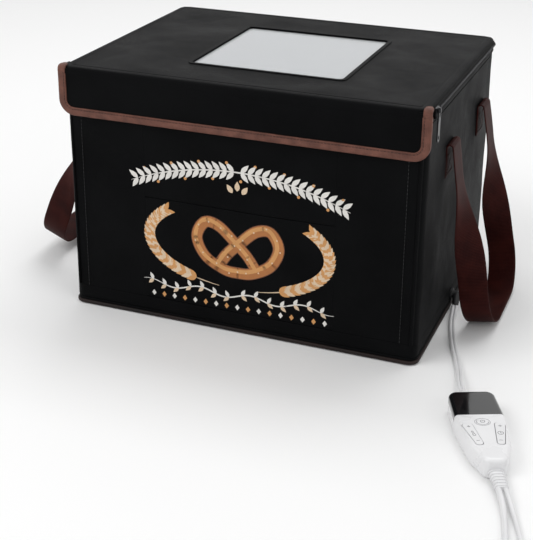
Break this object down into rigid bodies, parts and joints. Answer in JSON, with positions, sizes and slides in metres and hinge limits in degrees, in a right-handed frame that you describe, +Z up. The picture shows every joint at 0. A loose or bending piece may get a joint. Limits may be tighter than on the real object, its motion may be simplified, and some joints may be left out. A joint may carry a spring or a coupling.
{
  "type": "folding dough proofer",
  "caption": "Fabric box that folds flat for proofing dough, with a zipped window lid, heating mat, wire rack, carrying straps and a corded hand controller.",
  "frame": {"origin": "centre of the base on the surface the box stands on", "axes": "+Z up; -Y is the front with the closing flap; +X is the side where the cord leaves the base"},
  "size_m": [0.7449, 0.6963, 0.282],
  "materials": {
    "shell_fabric": "black woven polyester with a slight sheen",
    "trim_binding": "brown folded binding tape with a stitch line",
    "foil_lining": "silver foil laminated to thin foam",
    "stiffener_board": "grey polypropylene board",
    "strap_webbing": "dark red-brown ribbed webbing",
    "zip_tape": "black zip tape and coil",
    "closure_tape": "black hook and loop tape",
    "zip_metal": "gunmetal lacquer",
    "window_film": "clear flexible film",
    "heating_pad": "silver-faced sewn heating mat",
    "rack_wire": "plated wire",
    "controller_shell": "white satin moulding",
    "display_window": "smoked black display cap",
    "keys": "white soft keys with grey outlines",
    "circuit_board": "green circuit board",
    "screw_steel": "zinc-plated screws",
    "cord_jacket": "white soft jacket",
    "plug_body": "white moulded plug with bare blades",
    "probe_steel": "steel sensor sleeve"
  },
  "bodies": {
    "base": {"base_cover": "shell_fabric", "base_board": "stiffener_board", "base_lining": "foil_lining", "base_binding": "trim_binding", "heating_mat": "heating_pad", "cable_grommet": "cord_jacket", "left_wall": "shell_fabric", "right_wall": "shell_fabric", "left_wall_lining": "foil_lining", "right_wall_lining": "foil_lining", "controller_top_shell": "controller_shell", "controller_bottom_shell": "controller_shell", "display_lens": "display_window", "control_board": "circuit_board", "controller_screws": "screw_steel", "heater_strain_relief": "cord_jacket", "mains_strain_relief": "cord_jacket", "heater_cord": "cord_jacket", "mains_cord": "cord_jacket", "mains_cord_coil": "cord_jacket", "mains_plug": "plug_body", "sensor_cord": "cord_jacket", "sensor_cord_coil": "cord_jacket", "sensor_probe": "probe_steel"},
    "front_lower": {"front_lower_panel": "shell_fabric", "front_lower_lining": "foil_lining"},
    "front_upper": {"front_upper_panel": "shell_fabric", "front_upper_lining": "foil_lining", "front_loop_strip": "closure_tape"},
    "back_lower": {"back_lower_panel": "shell_fabric", "back_lower_lining": "foil_lining"},
    "back_upper": {"back_upper_panel": "shell_fabric", "back_upper_lining": "foil_lining"},
    "rim": {"rim_band": "shell_fabric", "wall_zip_tapes": "zip_tape"},
    "lid": {"lid_cover": "shell_fabric", "lid_board": "stiffener_board", "lid_lining": "foil_lining", "window_pane": "window_film", "window_frame": "trim_binding", "lid_zip_tapes": "zip_tape"},
    "flap": {"flap_panel": "shell_fabric", "flap_binding": "trim_binding", "flap_hook_strip": "closure_tape"},
    "rack": {"wire_rack": "rack_wire"},
    "power_key": {"power_key": "keys"},
    "temperature_key": {"temperature_key": "keys"},
    "time_key": {"time_key": "keys"},
    "left_strap_root": {"left_strap_ends": "strap_webbing", "left_strap_arches": "strap_webbing"},
    "left_strap": {"left_strap_loop": "strap_webbing"},
    "left_zip_slider": {"left_zip_slider": "zip_metal"},
    "left_zip_pull": {"left_zip_pull": "zip_metal"},
    "right_strap_root": {"right_strap_ends": "strap_webbing", "right_strap_arches": "strap_webbing"},
    "right_strap": {"right_strap_loop": "strap_webbing"},
    "right_zip_slider": {"right_zip_slider": "zip_metal"},
    "right_zip_pull": {"right_zip_pull": "zip_metal"}
  },
  "joints": [
    {"name": "fold", "type": "hinge", "parent": "base", "child": "back_lower", "pos_m": [0, 0.1445, 0.024], "axis": [1, 0, 0], "range_deg": [0, 90], "deforming": ["left_wall", "right_wall", "left_wall_lining", "right_wall_lining"]},
    {"name": "back_upper_fold", "type": "hinge", "parent": "back_lower", "child": "back_upper", "pos_m": [0, 0.1515, 0.143], "axis": [-1, 0, 0], "range_deg": [0, 180]},
    {"name": "rim_fold", "type": "hinge", "parent": "back_upper", "child": "rim", "pos_m": [0, 0.1445, 0.262], "axis": [1, 0, 0], "range_deg": [0, 90]},
    {"name": "front_lower_fold", "type": "hinge", "parent": "base", "child": "front_lower", "pos_m": [0, -0.1445, 0.024], "axis": [-1, 0, 0], "range_deg": [0, 90]},
    {"name": "front_upper_fold", "type": "hinge", "parent": "front_lower", "child": "front_upper", "pos_m": [0, -0.1515, 0.143], "axis": [1, 0, 0], "range_deg": [0, 180]},
    {"name": "lid_hinge", "type": "hinge", "parent": "rim", "child": "lid", "pos_m": [0, 0.1505, 0.2825], "axis": [-1, 0, 0], "range_deg": [0, 240]},
    {"name": "flap_hinge", "type": "hinge", "parent": "lid", "child": "flap", "pos_m": [0, -0.1573, 0.274], "axis": [-1, 0, 0], "range_deg": [0, 150]},
    {"name": "right_strap_fold", "type": "hinge", "parent": "base", "child": "right_strap_root", "pos_m": [0.32425, 0, 0.12502], "axis": [0, -1, 0], "range_deg": [0, 75.01]},
    {"name": "right_strap_swing", "type": "hinge", "parent": "right_strap_root", "child": "right_strap", "pos_m": [0.2046, 0, 0.216], "axis": [0, 1, 0], "range_deg": [-150, 0]},
    {"name": "right_zip_slide", "type": "slide", "parent": "rim", "child": "right_zip_slider", "axis": [0, 1, 0], "range_m": [0, 0.27]},
    {"name": "right_pull_swing", "type": "hinge", "parent": "right_zip_slider", "child": "right_zip_pull", "pos_m": [0.2059, 0, 0.2765], "axis": [0, -1, 0], "range_deg": [0, 170]},
    {"name": "left_strap_fold", "type": "hinge", "parent": "base", "child": "left_strap_root", "pos_m": [-0.32425, 0, 0.12502], "axis": [0, 1, 0], "range_deg": [0, 75.01]},
    {"name": "left_strap_swing", "type": "hinge", "parent": "left_strap_root", "child": "left_strap", "pos_m": [-0.2046, 0, 0.216], "axis": [0, -1, 0], "range_deg": [-150, 0]},
    {"name": "left_zip_slide", "type": "slide", "parent": "rim", "child": "left_zip_slider", "axis": [0, 1, 0], "range_m": [0, 0.27]},
    {"name": "left_pull_swing", "type": "hinge", "parent": "left_zip_slider", "child": "left_zip_pull", "pos_m": [-0.2059, 0, 0.2765], "axis": [0, 1, 0], "range_deg": [0, 170]},
    {"name": "rack_lift", "type": "slide", "parent": "base", "child": "rack", "axis": [0, 0, 1], "range_m": [0, 0.23]},
    {"name": "power_press", "type": "slide", "parent": "base", "child": "power_key", "axis": [0, 0, -1], "range_m": [0, 0.0008], "stiffness_N_per_m": 250},
    {"name": "temperature_rock", "type": "hinge", "parent": "base", "child": "temperature_key", "pos_m": [0.29, -0.28374, 0.0165], "axis": [0.829, 0.5592, 0], "range_deg": [-3, 3], "stiffness_Nm_per_rad": 0.05},
    {"name": "time_rock", "type": "hinge", "parent": "base", "child": "time_key", "pos_m": [0.31302, -0.27349, 0.0165], "axis": [0.9703, 0.2419, 0], "range_deg": [-3, 3], "stiffness_Nm_per_rad": 0.05}
  ],
  "couplings": [
    {"joint": "back_upper_fold", "follows": "fold", "ratio": 2},
    {"joint": "rim_fold", "follows": "fold", "ratio": 1},
    {"joint": "front_lower_fold", "follows": "fold", "ratio": 1},
    {"joint": "front_upper_fold", "follows": "fold", "ratio": 2},
    {"joint": "right_strap_fold", "follows": "fold", "ratio": 0.83333},
    {"joint": "left_strap_fold", "follows": "fold", "ratio": 0.83333}
  ]
}
